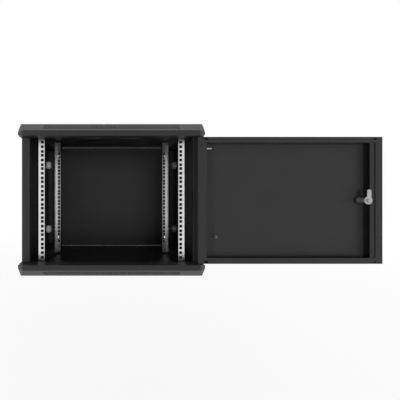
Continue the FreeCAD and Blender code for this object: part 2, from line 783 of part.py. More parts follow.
def hingeSpring():
    """The coil that pushes the pin up, between the bracket and the pin's collar."""
    low = size(f"{bracketLevel} + frameSheet")
    high = size(f"{collarHigh} - collarThickness")
    wire, play = size("springWire / 2"), size("springPlay / 2")
    radius = size(f"{pinBore} + springWire / 2")
    rise = high - low - 2 * (wire + play)
    helix = Part.makeHelix(rise / size("springTurns"), rise, radius)
    section = Part.Wire(Part.makeCircle(wire, FreeCAD.Vector(radius, 0, 0), FreeCAD.Vector(0, 1, 0)))
    coil = Part.Wire(helix).makePipeShell([section], True, True)
    coil.translate(FreeCAD.Vector(size(hingeAcross), size(hingeBack), low + wire + play))
    return feature("hinge_spring", coil)


def hingePinBottom():
    """The fixed pin that stands on the lower bezel's lip and carries the door."""
    lip = FreeCAD.Vector(size(hingeAcross), size(hingeBack), -size(openingHalf))
    foot = lip - acrossZ * size("bottomPinDepth")
    shank = rod("pinRadius", "bottomPinDepth + doorGap + pinEngagement", foot, acrossZ)
    washer = rod("collarRadius", "doorGap - washerPlay", lip, acrossZ)
    headLow = lip - acrossZ * size("coverSheet + collarThickness")
    head = rod("collarRadius", "collarThickness", headLow, acrossZ)
    return feature("hinge_pin_bottom", shank.fuse([washer, head]).removeSplitter())


doorPanel()
hingeBracket()
hingePinTop()
hingeSpring()
hingePinBottom()


# ---------------------------------------------------------------- cam locks

# Each lock is drawn about its own axis, local +X pointing out of the cabinet,
# with the sheet that carries it at local x = 0 to -sheet.


# Outline of the round nut: shares of its height and of its radius.
domeOutline = ((0, 1), (0.35, 1), (0.6, 0.96), (0.8, 0.86), (0.93, 0.73), (1, 0.6))


def hexNut(name, sheetSize):
    nut = newBody(f"{name}_nut")
    low = f"-{sheetSize} - nutThickness"
    prism(nut, "YZ", [hexagon("0", "0", "nutAcrossFlats")], low, f"-{sheetSize}")
    bore = [("circle", "0", "0", "barrelRadius + threadGap")]
    bored(nut, "YZ", bore, f"{low} - holeReach", f"holeReach - {sheetSize}")
    return nut


def domeNut(name, sheetSize):
    nut = newBody(f"{name}_nut")
    bore = "barrelRadius + threadGap"
    profile = [(f"-{sheetSize}", bore)]
    profile += [(f"-{sheetSize} - {up} * domeHeight", f"{out} * domeRadius") for up, out in domeOutline]
    profile.append((f"-{sheetSize} - domeHeight", bore))
    turned(nut, profile)
    return nut


def camLock(name, place, turn, sheetSize, length, reach, upwards, offset, makeNut):
    """Housing, nut, plug, cam and cam screw of one quarter-turn lock."""
    housing = newBody(f"{name}_housing")
    ring = [("circle", "0", "0", "lockFlangeRadius")]
    prism(housing, "YZ", ring, "0", "lockFlangeThickness")
    prism(housing, "YZ", [("circle", "0", "0", "barrelRadius")], f"-{length}", "0")
    bored(
        housing, "YZ", [("circle", "0", "0", "plugRadius + boltHoleGap")],
        f"-{length} - holeReach", "lockFlangeThickness + holeReach",
    )
    nut = makeNut(name, sheetSize)
    plug = newBody(f"{name}_plug")
    camFar, camNear = f"(-{length} - fitClearance - camThickness)", f"(-{length} - fitClearance)"
    plugFace = "lockFlangeThickness - plugRecess"
    prism(plug, "YZ", [("circle", "0", "0", "plugRadius")], camNear, plugFace)
    keyway = rectangle("-keywayWidth / 2", "-keywayLength / 2", "keywayWidth / 2", "keywayLength / 2")
    bored(plug, "YZ", [keyway], f"{plugFace} - keywayDepth", "lockFlangeThickness")
    cam = newBody(f"{name}_cam")
    prism(cam, "YZ", [("circle", "0", "0", "camHeadRadius")], camFar, camNear)
    tip = f"({upwards} * {reach})"
    shoulder = f"({upwards} * ({reach} - camTipLength))"
    blade = [
        (f"-camWidth / 2 - {offset}", "0"), (f"camWidth / 2 - {offset}", "0"),
        (f"camWidth / 2 - {offset}", shoulder), (f"camTipWidth / 2 - {offset}", tip),
        (f"-camTipWidth / 2 - {offset}", tip), (f"-camWidth / 2 - {offset}", shoulder),
    ]
    prism(cam, "YZ", [blade], camFar, camNear)
    screw = newBody(f"{name}_screw")
    prism(screw, "YZ", [hexagon("0", "0", "boltHeadFlats")], f"{camFar} - boltHead", camFar)
    things = (housing, nut, plug, cam, screw)
    for thing in things:
        thing.Placement = FreeCAD.Placement(FreeCAD.Vector(0, 0, 0), turn)
        for axis, formula in zip("xyz", place):
            bind(thing, f"Placement.Base.{axis}", formula)
    keep(*things)


outward = {"right": FreeCAD.Rotation(0, 0, 0), "left": FreeCAD.Rotation(180, 0, 0)}
facingBack = FreeCAD.Rotation(90, 0, 0)
camLock(
    "lock", (lockAcross, doorBack, "0"), facingBack,
    "doorSheet", "barrelLength", "camReach", 1, "camOffset", hexNut,
)
for side, sign in (("right", 1), ("left", -1)):
    for level, up in (("upper", 1), ("lower", -1)):
        camLock(
            f"latch_{level}_{side}", (f"{sign} * {bodyHalf}", "-latchSetback", f"{up} * {latchLevel}"),
            outward[side], "coverSheet", "latchBarrelLength", "latchReach", -1, "0", domeNut,
        )


# ---------------------------------------------------------------- side panels


def sidePanel():
    """A lift-off panel with short returns between the pillars and two lock holes."""
    panel = newBody("side_panel_right")
    front, rear = "(panelFront - depth)", "(-frameSheet)"
    prism(panel, "YZ", [rectangle(front, f"-{panelTop}", rear, panelTop)], frameOut, bodyHalf)
    returnFront = f"({pillarFront} + frontPillarLeg + 4 * coverSheet)"
    returnRear = "(-rearPillarLeg - 4 * coverSheet)"
    inward = rectangle(f"{frameOut} - panelReturn", returnFront, frameOut, returnRear)
    prism(panel, "XY", [inward], f"{panelTop} - coverSheet", panelTop)
    prism(panel, "XY", [inward], f"-{panelTop}", f"coverSheet - {panelTop}")
    radius = "barrelRadius + boltHoleGap"
    holes = [("circle", "-latchSetback", f"{up} * {latchLevel}", radius) for up in (-1, 1)]
    bored(panel, "YZ", holes, f"{frameOut} - holeReach", f"{bodyHalf} + holeReach")
    return keep(panel)


panelRight = sidePanel()
keep(mirrored("side_panel_left", panelRight, acrossX))


# ---------------------------------------------------------------- fasteners


def panScrew(place, direction, length):
    """A pan-head screw: a low domed head and a plain shank."""
    rim = size("screwHead / 2")
    head = rod("screwHeadRadius", "screwHead / 2", place, direction)
    crown = Part.makeCone(
        size("screwHeadRadius"), size("screwCrownRadius"), rim, place + direction * rim, direction
    )
    shank = rod("screwRadius", length, place - direction * size(length), direction)
    return head.fuse([crown, shank]).removeSplitter()


def hexPrism(place, direction, flats, thickness, bore=None):
    """A hexagonal head or nut on an axis, bored if it is a nut."""
    reach = size(flats) / math.sqrt(3)
    turns = [math.radians(60 * k) for k in range(7)]
    corners = [FreeCAD.Vector(reach * math.cos(a), reach * math.sin(a), 0) for a in turns]
    solid = Part.Face(Part.makePolygon(corners)).extrude(FreeCAD.Vector(0, 0, size(thickness)))
    if bore:
        solid = solid.cut(Part.makeCylinder(size(bore), size(thickness)))
    solid.Placement = FreeCAD.Placement(place, FreeCAD.Rotation(acrossZ, direction))
    return solid


def side(vector):
    """The outward direction at a place, left or right."""
    return acrossX if vector.x > 0 else -acrossX


def plateScrews(middle):
    """The screws of one cable plate, driven from inside."""
    seats = [place - acrossZ * size("coverSheet") for place in plateScrewPlaces(middle)]
    return [panScrew(seat, -acrossZ, "2 * coverSheet + holeReach") for seat in seats]


cornerLength = "coverSheet + frameSheet + screwPoint"
cornerScrews = [panScrew(place, side(place), cornerLength) for place in cornerScrewPlaces()]
feature("frame_screws", Part.makeCompound(cornerScrews))
entryScrews = plateScrews("topEntryMiddle")
entryScrews += [flipped(screw) for screw in plateScrews("bottomEntryMiddle")]
feature("cable_plate_screws", Part.makeCompound(entryScrews))


def railBoltPlaces():
    """The middle of each rail flange's bolt hole, on the flange's inner face."""
    level = size(f"{memberLow} + memberHeight / 2")
    across = size(f"{memberIn} - railSheet")
    alongs = [size(f"({a} + {b}) / 2") for a, b in (frontFlange, rearFlangePlace)]
    return [
        FreeCAD.Vector(sx * across, y, up * level) for sx in (-1, 1) for y in alongs for up in (-1, 1)
    ]


bolts, nuts = [], []
for place in railBoltPlaces():
    inward = side(place) * -1
    seat = place - inward * size("railSheet + frameSheet + boltHead")
    end = seat - inward * size("boltEnd")
    shank = rod("boltRadius", "railSheet + frameSheet + boltHead + boltEnd", end, inward)
    bolts.append(hexPrism(place, inward, "boltHeadFlats", "boltHead").fuse(shank))
    nuts.append(hexPrism(seat, inward, "boltHeadFlats", "boltHead", "boltRadius + threadGap"))
feature("rail_bolts", Part.makeCompound(bolts))
feature("rail_nuts", Part.makeCompound(nuts))


def earthStud(label, place, direction):
    """A weld stud with one nut, for the earth wire."""
    stud = rod("boltRadius", "studLength", place, direction)
    seat = place + direction * size("boltHead")
    nut = hexPrism(seat, direction, "boltHeadFlats", "boltHead", "boltRadius + threadGap")
    return feature(label, Part.makeCompound([stud, nut]))


frontwards = FreeCAD.Vector(0, -1, 0)
rearInside, doorInside = size("-frameSheet - coverSheet"), size(f"{doorBack} - doorSheet")
cabinetStud = (size("entryWidth / 2"), rearInside, size("cabinetStudUp - height / 2"))
doorStud = (size(f"{doorNear} + doorStudInset"), doorInside, size(f"doorStudUp - {doorHalf}"))
earthStud("cabinet_earth_stud", FreeCAD.Vector(*cabinetStud), frontwards)
earthStud("door_earth_stud", FreeCAD.Vector(*doorStud), frontwards)

# ---------------------------------------------------------------- checks and export

doc.recompute()
for thing in doc.Objects:
    if "Invalid" in thing.State or "Error" in thing.State:
        raise ValueError(f"{thing.Label} did not build: {thing.State}")
os.makedirs("parts", exist_ok=True)
for thing in subparts:
    shape = thing.Shape
    if shape.isNull() or not shape.isValid() or not shape.Solids:
        raise ValueError(f"{thing.Label} has no valid shape")
    shape.exportStep(f"parts/{thing.Label}.step")
    print(f"{thing.Label:28s} {len(shape.Solids)} solids {shape.Volume:12.1f} mm3")
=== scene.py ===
import json
import math

import bmesh
import bpy
import numpy as np
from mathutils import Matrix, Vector


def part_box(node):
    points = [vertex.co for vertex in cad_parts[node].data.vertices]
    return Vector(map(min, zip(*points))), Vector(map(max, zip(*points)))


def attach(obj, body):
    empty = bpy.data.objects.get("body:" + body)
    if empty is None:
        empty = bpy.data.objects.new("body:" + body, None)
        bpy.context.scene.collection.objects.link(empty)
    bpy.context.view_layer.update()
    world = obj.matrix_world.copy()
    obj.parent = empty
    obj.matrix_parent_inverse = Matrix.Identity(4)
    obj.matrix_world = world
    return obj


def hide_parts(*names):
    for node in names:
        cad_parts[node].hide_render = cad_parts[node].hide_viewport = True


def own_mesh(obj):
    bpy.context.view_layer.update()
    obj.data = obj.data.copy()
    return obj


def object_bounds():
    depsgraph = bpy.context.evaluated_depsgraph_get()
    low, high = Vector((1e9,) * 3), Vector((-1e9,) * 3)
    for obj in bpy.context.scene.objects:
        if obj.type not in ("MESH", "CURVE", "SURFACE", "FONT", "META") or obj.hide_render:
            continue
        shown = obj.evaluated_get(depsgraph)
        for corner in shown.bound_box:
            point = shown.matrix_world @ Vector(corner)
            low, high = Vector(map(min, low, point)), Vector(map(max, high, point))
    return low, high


# Wall mount network cabinet. Every length is in metres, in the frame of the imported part.

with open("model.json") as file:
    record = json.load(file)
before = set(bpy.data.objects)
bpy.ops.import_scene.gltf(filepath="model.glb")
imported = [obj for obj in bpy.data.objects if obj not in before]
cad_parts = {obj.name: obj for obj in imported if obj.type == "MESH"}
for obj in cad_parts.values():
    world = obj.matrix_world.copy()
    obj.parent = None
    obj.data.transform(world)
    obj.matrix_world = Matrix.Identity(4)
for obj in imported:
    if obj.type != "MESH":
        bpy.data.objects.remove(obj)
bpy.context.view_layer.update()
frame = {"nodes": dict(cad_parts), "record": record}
nodes = frame["nodes"]
bodyOf = {n: b for b, names in frame["record"]["behaviour"]["bodies"].items() for n in names}
print("stage: frame loaded,", len(nodes), "nodes")


# Shader maths: an expression on values adds the Math nodes it needs.
class Value:
    def __init__(self, paint, socket):
        self.paint, self.socket = paint, socket

    def sum(self, operation, first, second):
        return self.paint.sum(operation, first, second)

    def __add__(self, other):
        return self.sum("ADD", self, other)

    def __radd__(self, other):
        return self.sum("ADD", other, self)

    def __sub__(self, other):
        return self.sum("SUBTRACT", self, other)

    def __mul__(self, other):
        return self.sum("MULTIPLY", self, other)

    def __truediv__(self, other):
        return self.sum("DIVIDE", self, other)

    def __pow__(self, other):
        return self.sum("POWER", self, other)


# The nodes of a material or of the world: one method adds any node, set up before its sockets are filled.
class Paint:
    def __init__(self, owner):
        self.owner = owner
        owner.use_nodes = True
        self.tree = owner.node_tree
        self.tree.nodes.clear()

    def node(self, kind, settings=None, sockets=None, out=0):
        made = self.tree.nodes.new(kind)
        for name, setting in (settings or {}).items():
            setattr(made, name, setting)
        for key, what in (sockets or {}).items():
            if isinstance(what, Value):
                self.tree.links.new(what.socket, made.inputs[key])
            else:
                made.inputs[key].default_value = what
        return Value(self, made.outputs[out] if len(made.outputs) else None)

    def sum(self, operation, first, second):
        return self.node("ShaderNodeMath", {"operation": operation}, {0: first, 1: second})

    def place(self, scale=(1, 1, 1)):
        where = self.node("ShaderNodeTexCoord", out="Object")
        return self.node("ShaderNodeMapping", {}, {"Vector": where, "Scale": scale})

    def noise(self, where, scale, detail, rough):
        sockets = {"Vector": where, "Scale": scale, "Detail": detail, "Roughness": rough}
        return self.node("ShaderNodeTexNoise", {}, sockets)

    def blend(self, amount, first, second):
        sockets = {"Factor": amount, 6: first, 7: second}
        return self.node("ShaderNodeMix", {"data_type": "RGBA"}, sockets, out=2)

    def bump(self, height, strength, distance):
        return self.node("ShaderNodeBump", {}, {"Height": height, "Strength": strength, "Distance": distance})

    def show(self, surface, output="ShaderNodeOutputMaterial"):
        self.node(output, {}, {"Surface": surface})
        return self.owner

    def finish(self, sockets):
        return self.show(self.node("ShaderNodeBsdfPrincipled", {}, sockets))


def startPaint(name):
    paint = Paint(bpy.data.materials.new(name))
    return paint, paint.place()


# In every finish "vary" is how far the roughness moves with the noise; scales are features per metre.
powder = {
    "colour": (0.0267, 0.0267, 0.0273, 1),  # the coat's own black
    "worn": (0.0348, 0.0348, 0.0351, 1),  # where the coat is a touch thinner, and also the lighter tone of the painted glints on single grains
    "grain": 1500.0,
    "speckle": 0.35,  # how far single grains are painted lighter or darker, as painted glints and painted shade
    "orangePeel": 260.0,
    "grainShare": 0.7,  # of the relief, and the orange peel's share
    "peelShare": 0.6,
    "relief": 0.8,
    "reliefHeight": 0.00014,
    "drift": 9.0,  # slow change over the sheet
    "roughness": 0.42,
    "driftVary": 0.10,
    "grainVary": 0.16,
    "ior": 1.25,
}


def powderCoat(name):
    # Fine textured powder coat: grains over a slow orange peel, and a roughness that drifts a little.
    paint, where = startPaint(name)
    grain = paint.noise(where, powder["grain"], 2.0, 0.6)
    peel = paint.noise(where, powder["orangePeel"], 2.0, 0.5)
    drift = paint.noise(where, powder["drift"], 3.0, 0.6)
    height = grain * powder["grainShare"] + peel * powder["peelShare"]
    rough = powder["roughness"] + (drift - 0.5) * powder["driftVary"] + (grain - 0.5) * powder["grainVary"]
    # The colour drifts slowly over the sheet toward the thinner coat's tone. Single grains are painted
    # lighter or darker as painted glints and painted shade.
    colour = paint.blend(drift + (grain - 0.5) * powder["speckle"], powder["colour"], powder["worn"])
    normal = paint.bump(height, powder["relief"], powder["reliefHeight"])
    return paint.finish({"Base Color": colour, "Roughness": rough, "Normal": normal, "IOR": powder["ior"]})


zinc = {
    "colour": (0.80, 0.80, 0.79, 1),
    "shade": (0.62, 0.63, 0.64, 1),
    "streaks": (900.0, 900.0, 30.0),  # long ones, upright
    "clouds": 24.0,
    "cloudShade": 0.6,
    "streakShade": 0.3,
    "roughness": 0.30,
    "cloudVary": 0.22,
    "streakVary": 0.10,
    "relief": 0.25,
    "reliefHeight": 0.00002,
}


def zincPlate(name):
    # Bright zinc over rolled steel: fine rolling streaks along the length and soft clouds.
    paint, where = startPaint(name)
    streak = paint.noise(paint.place(zinc["streaks"]), 1.0, 3.0, 0.6)
    cloud = paint.noise(where, zinc["clouds"], 4.0, 0.55)
    shade = cloud * zinc["cloudShade"] + streak * zinc["streakShade"]
    colour = paint.blend(shade, zinc["colour"], zinc["shade"])
    rough = zinc["roughness"] + (cloud - 0.5) * zinc["cloudVary"] + (streak - 0.5) * zinc["streakVary"]
    normal = paint.bump(streak, zinc["relief"], zinc["reliefHeight"])
    return paint.finish({"Base Color": colour, "Roughness": rough, "Metallic": 1.0, "Normal": normal})


nickel = {
    "colours": ((0.74, 0.72, 0.68, 1), (0.60, 0.59, 0.57, 1)),
    "stains": 45.0,
    "castGrain": 220.0,
    "roughness": 0.18,
    "vary": 0.14,
    "relief": 0.3,
    "reliefHeight": 0.00004,
}


def nickelPlate(name):
    # Nickel on a die casting: brighter and smoother than the zinc, with a faint cast unevenness.
    paint, where = startPaint(name)
    cast = paint.noise(where, nickel["castGrain"], 3.0, 0.5)
    stain = paint.noise(where, nickel["stains"], 3.0, 0.6)
    colour = paint.blend(stain, *nickel["colours"])
    rough = nickel["roughness"] + cast * nickel["vary"]
    normal = paint.bump(cast, nickel["relief"], nickel["reliefHeight"])
    return paint.finish({"Base Color": colour, "Roughness": rough, "Metallic": 1.0, "Normal": normal})


casting = {
    "colours": ((0.80, 0.80, 0.79, 1), (0.62, 0.62, 0.62, 1)),
    "clouds": 160.0,
    "pits": 900.0,
    "roughness": 0.50,
    "vary": 0.16,
    "metallic": 0.2,
    "relief": 0.35,
    "reliefHeight": 0.00005,
}


def satinCast(name):
    # Barrelled zinc casting, as the latches' round nuts: pale, dull and a little clouded.
    paint, where = startPaint(name)
    cloud = paint.noise(where, casting["clouds"], 3.0, 0.6)
    pits = paint.noise(where, casting["pits"], 2.0, 0.5)
    colour = paint.blend(cloud, *casting["colours"])
    rough = casting["roughness"] + (cloud - 0.5) * casting["vary"]
    metallic = casting["metallic"]
    normal = paint.bump(pits, casting["relief"], casting["reliefHeight"])
    return paint.finish({"Base Color": colour, "Roughness": rough, "Metallic": metallic, "Normal": normal})


dull = {
    "colours": ((0.20, 0.20, 0.20, 1), (0.10, 0.10, 0.105, 1)),  # latches and earth studs
    "lockColours": ((0.52, 0.52, 0.51, 1), (0.34, 0.34, 0.35, 1)),
    "clouds": 140.0,
    "scratches": (1500.0, 1500.0, 90.0),
    "roughness": 0.46,
    "vary": 0.18,
    "metallic": 0.85,
    "relief": 0.25,
    "reliefHeight": 0.00002,
}


def dullSteel(name, colours):
    # Plain plated steel: grey, satin, with small clouds and fine scratches.
    paint, where = startPaint(name)
    cloud = paint.noise(where, dull["clouds"], 4.0, 0.6)
    scratch = paint.noise(paint.place(dull["scratches"]), 1.0, 2.0, 0.5)
    colour = paint.blend(cloud, *colours)
    rough = dull["roughness"] + (cloud - 0.5) * dull["vary"]
    metallic = dull["metallic"]
    normal = paint.bump(scratch, dull["relief"], dull["reliefHeight"])
    return paint.finish({"Base Color": colour, "Roughness": rough, "Metallic": metallic, "Normal": normal})


black = {
    "colours": ((0.020, 0.020, 0.022, 1), (0.045, 0.044, 0.042, 1)),
    "mottle": 600.0,
    "roughness": 0.30,
    "vary": 0.15,
    "metallic": 0.6,
}


def blackZinc(name):
    # Black passivated screws: dark metal with a thin oily sheen.
    paint, where = startPaint(name)
    mottle = paint.noise(where, black["mottle"], 3.0, 0.6)
    colour = paint.blend(mottle, *black["colours"])
    rough = black["roughness"] + mottle * black["vary"]
    return paint.finish({"Base Color": colour, "Roughness": rough, "Metallic": black["metallic"]})


slotOf = {part["node"]: part["material_slot"] for part in frame["record"]["subparts"]}
finishes = {
    "black_powder_coat": powderCoat("powderCoatBlack"),
    "zinc_plate": zincPlate("zincPlateBright"),
    "lock_nickel": nickelPlate("nickelPlate"),
    "black_screw": blackZinc("blackZincScrew"),
}
castDull = satinCast("zincCastDull")
steelDull = dullSteel("platedSteelDull", dull["colours"])
steelLock = dullSteel("platedSteelLock", dull["lockColours"])


def finishOf(name):
    # The latches' round nuts are cast. The rest of each latch and the earth studs are dull steel.
    if name.startswith("latch_") and name.endswith("_nut"):
        return castDull
    if name.startswith("latch_") or name.endswith("_earth_stud"):
        return steelDull
    if name in ("lock_cam", "lock_screw", "hinge_pin_top"):
        return steelLock
    return finishes[slotOf[name]]


def dress(piece, material):
    piece.data.materials.clear()
    piece.data.materials.append(material)


for name, node in nodes.items():
    dress(node, finishOf(name))
print("stage: finishes made")


def standFor(piece, name):
    # The piece rides where the node rides, and is shown in its place.
    dress(piece, finishOf(name))
    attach(piece, bodyOf[name])
    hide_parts(name)


# Folded sheet and rails get a narrow bevel along their edges; turned and cast pieces are smoothed as well.
softening = {
    "sheetEdge": 0.0005,
    "railEdge": 0.0003,
    "turnedEdge": 0.0003,
    "segments": 2,
    "angle": math.radians(50),  # edges folded less than this stay sharp
    "flat": math.radians(0.5),  # faces that turn less than this become one
    "merge": 0.000005,
}
crest = {
    "stop": 0.037,  # where a cover's sloped sheet stops, behind the bezel's front
    "depth": 0.044,  # where its slope reaches the level of the plate
    "rise": 0.031,
    "sheet": 0.0012,
    "inside": 0.2928,  # half the width between the side flanges
    "underside": (-0.40562, 0.2488),  # a point on the crest's underside, to the rear and up
    "near": 0.00001,
    "slack": 0.0002,
    "mostSides": 8,  # of a face that closes the crest's ends
}
crestUp = {"top_cover": 1, "bottom_cover": -1}
underSlope = ("front_pillar_", "depth_member_")


def openEdges(shape):
    return [e for e in shape.edges if e.is_boundary]


def closeCrest(shape, up):
    # The slope's open end and the plate's front edge both move to the line where slope and plate meet, so
    # that the cover is one folded sheet there. The edge of the fold inside lies a little further back.
    front = min(v.co.y for v in shape.verts)
    top = max(v.co.z * up for v in shape.verts)
    rise, depth, sheet, slack = (crest[key] for key in ("rise", "depth", "sheet", "slack"))
    slant = math.hypot(rise, depth)
    outerEdge = front + depth
    innerEdge = outerEdge + sheet * (slant - depth) / rise
    outerDrop = rise * (1 - crest["stop"] / depth)  # the slope's end below the plate's face
    innerDrop = outerDrop + sheet * slant / depth
    ends = {
        v: top - v.co.z * up for v in shape.verts
        if abs(v.co.y - front - crest["stop"]) < crest["near"] and top - v.co.z * up < innerDrop + slack
    }
    faces = [f for f in shape.faces if all(v in ends for v in f.verts)]
    bmesh.ops.delete(shape, geom=faces, context="FACES")
    for corner, drop in ends.items():
        between = abs(corner.co.x) < crest["inside"] + crest["near"]
        if drop < crest["near"] or abs(drop - outerDrop) < slack and between:
            corner.co.y, corner.co.z = outerEdge, top * up
        elif abs(drop - sheet) < slack or abs(drop - innerDrop) < slack:
            corner.co.y, corner.co.z = innerEdge, (top - sheet) * up
    bmesh.ops.remove_doubles(shape, verts=shape.verts, dist=softening["merge"])
    widest = max(openEdges(shape), key=lambda e: e.calc_length())
    for end in list(widest.verts):
        share = (abs(end.co.x) - crest["inside"]) / widest.calc_length()
        bmesh.utils.edge_split(widest, end, share)
        widest = max(openEdges(shape), key=lambda e: e.calc_length())
    bmesh.ops.remove_doubles(shape, verts=shape.verts, dist=softening["merge"])
    bmesh.ops.holes_fill(shape, edges=openEdges(shape), sides=crest["mostSides"])
    bmesh.ops.delete(shape, geom=[e for e in shape.edges if e.is_wire], context="EDGES")


def trimUnderSlope(shape):
    # The frame's corners that stood in the slope's open end are cut back along the underside of the slope.
    for up in (1, -1):
        parts = [*shape.verts, *shape.edges, *shape.faces]
        back, height = crest["underside"]
        point, outward = (0, back, height * up), (0, -crest["rise"], crest["depth"] * up)
        bmesh.ops.bisect_plane(
            shape, geom=parts, dist=1e-6, plane_co=point, plane_no=outward, clear_outer=True
        )
        bmesh.ops.holes_fill(shape, edges=openEdges(shape), sides=0)


def softened(name, width, smooth=False):
    copy = bpy.data.objects.new(f"{name}_soft", nodes[name].data.copy())
    bpy.context.scene.collection.objects.link(copy)
    shape = bmesh.new()
    shape.from_mesh(copy.data)
    bmesh.ops.remove_doubles(shape, verts=shape.verts, dist=softening["merge"])
    if name in crestUp:
        closeCrest(shape, crestUp[name])
    if name.startswith(underSlope):
        trimUnderSlope(shape)
    bmesh.ops.dissolve_limit(
        shape, angle_limit=softening["flat"], verts=shape.verts, edges=shape.edges, delimit=set()
    )
    for face in shape.faces:
        face.smooth = smooth
    shape.to_mesh(copy.data)
    shape.free()
    bevel = copy.modifiers.new("edges", "BEVEL")
    bevel.width, bevel.segments = width, softening["segments"]
    bevel.limit_method, bevel.angle_limit = "ANGLE", softening["angle"]
    bevel.harden_normals = smooth
    standFor(copy, name)


sheetNodes = [n for n in nodes if slotOf[n] == "black_powder_coat"]
railNodes = [n for n in nodes if n.startswith("rack_rail_")]
turnedNodes = [n for n in nodes if n.startswith(("latch_", "lock_", "hinge_pin_"))]
for name in sheetNodes:
    softened(name, softening["sheetEdge"])
for name in railNodes:
    softened(name, softening["railEdge"])
for name in turnedNodes:
    softened(name, softening["turnedEdge"], smooth=True)
print("stage: edges softened on", len(sheetNodes + railNodes + turnedNodes), "pieces")


# Small pieces are worked out as rings about an axis: a point is its radius and height at each turn.
def ringPoints(place, axis, upright, radius, height, around):
    # place + axis * height + radius * (cos turn * upright + sin turn * sideways)
    turn = np.linspace(0, 2 * np.pi, around, endpoint=False)
    sideways = np.cross(axis, upright)
    spoke = np.cos(turn)[:, None] * upright + np.sin(turn)[:, None] * sideways
    radius, height = np.broadcast_arrays(radius, height, np.empty((1, around)))[:2]
    return place + height[..., None] * axis + radius[..., None] * spoke


def surfacePiece(name, grids):
    # Every grid holds rows of rings. A looped grid joins its last ring to its first; any other is capped.
    points, faces, count = [], [], 0
    for grid, looped in grids:
        index = count + np.arange(grid.shape[0] * grid.shape[1]).reshape(grid.shape[:2])
        below, above = (index, np.roll(index, -1, axis=0)) if looped else (index[:-1], index[1:])
        quads = [below, np.roll(below, -1, axis=1), np.roll(above, -1, axis=1), above]
        faces += np.stack(quads, axis=-1).reshape(-1, 4).tolist()
        if not looped:
            faces += [index[0][::-1].tolist(), index[-1].tolist()]
        points.append(grid.reshape(-1, 3))
        count += index.size
    mesh = bpy.data.meshes.new(name)
    mesh.from_pydata(np.concatenate(points).tolist(), [], faces)
    piece = bpy.data.objects.new(name, mesh)
    bpy.context.scene.collection.objects.link(piece)
    return piece


def fastenerBoxes(name, reach=0.025):
    # A node's separate fasteners, found as groups of points that stand close together.
    points = np.empty(3 * len(nodes[name].data.vertices))
    nodes[name].data.vertices.foreach_get("co", points)
    points = points.reshape(-1, 3)
    while len(points):
        near = np.linalg.norm(points - points[0], axis=1) < reach
        yield points[near].min(axis=0), points[near].max(axis=0)
        points = points[~near]


def axisOf(box, along, sign):
    # The end of a fastener that looks towards its head, its axis, a corner's direction and its length.
    low, high = box
    axis = np.eye(3)[along] * sign
    length = high[along] - low[along]
    end = (low + high) / 2 + axis * length / 2
    spans = high - low
    spans[along] = 0
    return end, axis, np.eye(3)[int(np.argmax(spans))], length


screw = {
    "headRadius": 0.0046,
    "headHeight": 0.0024,
    "shankRadius": 0.0025,
    "crossReach": 0.0026,  # half the length of the cross recess
    "crossWidth": 0.0011,
    "crossDepth": 0.0013,
    "crossSide": 0.0003,  # how wide the cross's sides and ends slope
    "crossEnd": 0.0004,
    "crossLimit": (0.0032, 0.0030),  # rings stand closer inside this radius
    "middle": 0.00015,  # radius of the innermost ring
    "rimRings": 6,
    "crownRings": 16,
    "pointShare": 0.7,  # the shank's end is this much of its radius
    "pointLength": 0.0008,
    "around": 60,
}


def panScrew(box, along, sign):
    # From the shank's end up to the seat, out under the head, up its rim and in over a low crown, where
    # the cross sinks: a point lies deep where it is close to either arm's middle line.
    end, axis, corner, length = axisOf(box, along, sign)
    head, shank, rim = screw["headHeight"], screw["shankRadius"], screw["headRadius"]
    limit, inner = screw["crossLimit"]
    outer = np.linspace(rim, limit, screw["rimRings"])
    across = np.concatenate([outer, np.linspace(inner, screw["middle"], screw["crownRings"])])
    crown = -head / 2 + head / 2 * np.sqrt(1 - (across / rim) ** 3)
    shaft = [shank * screw["pointShare"], shank, shank, rim * 0.97, rim]
    radius = np.concatenate([shaft, across])
    height = np.concatenate([[-length, -length + screw["pointLength"], -head, -head, -head * 0.9], crown])
    around = screw["around"]
    turn = np.linspace(0, 2 * np.pi, around, endpoint=False)
    beside = radius[:, None] * np.minimum(np.abs(np.cos(turn)), np.abs(np.sin(turn)))
    inArm = np.clip((screw["crossWidth"] / 2 - beside) / screw["crossSide"] + 0.5, 0, 1)
    inReach = np.clip((screw["crossReach"] - radius[:, None]) / screw["crossEnd"] + 0.5, 0, 1)
    onHead = (np.arange(len(radius)) >= len(shaft))[:, None]
    sunk = screw["crossDepth"] * inArm * inReach * onHead
    return ringPoints(end, axis, corner, radius[:, None], height[:, None] - sunk, around), False


hexagon = {
    "flats": 0.0100,
    "thickness": 0.0040,
    "chamfer": 0.95,  # where the chamfer starts, as a share of the half width across the flats
    "coneRise": 1.732,  # how fast the chamfer cone widens
    "chamferRings": (0, 0.0001, 0.0002, 0.00035, 0.0005, 0.0007),  # heights from each face
    "bore": 0.00305,
    "around": 48,
}


def hexRings(low, high, chamfered=(True, True)):
    # Radius and height of a hexagon's side: the smaller of the flats' distance and the chamfer cone's.
    turn = np.linspace(0, 2 * np.pi, hexagon["around"], endpoint=False)
    flats = hexagon["flats"] / 2 / np.cos(turn % (np.pi / 3) - np.pi / 6)
    steps = np.array(hexagon["chamferRings"])
    height = np.concatenate([low + steps, high - steps[::-1]])[:, None]
    cone = hexagon["chamfer"] * hexagon["flats"] / 2
    fromLow = cone + (height - low) * hexagon["coneRise"] if chamfered[0] else flats
    fromHigh = cone + (high - height) * hexagon["coneRise"] if chamfered[1] else flats
    return np.minimum(np.minimum(fromLow, fromHigh), flats), height + 0 * flats


def hexNut(end, axis, corner, low, high):
    # Up the outside from the lower face to the upper one, and back down the bore.
    radius, height = hexRings(low, high)
    bore = np.full((2, hexagon["around"]), hexagon["bore"])
    inside = np.array([[high], [low]]) + 0 * bore
    radius, height = np.concatenate([radius, bore]), np.concatenate([height, inside])
    return ringPoints(end, axis, corner, radius, height, hexagon["around"]), True


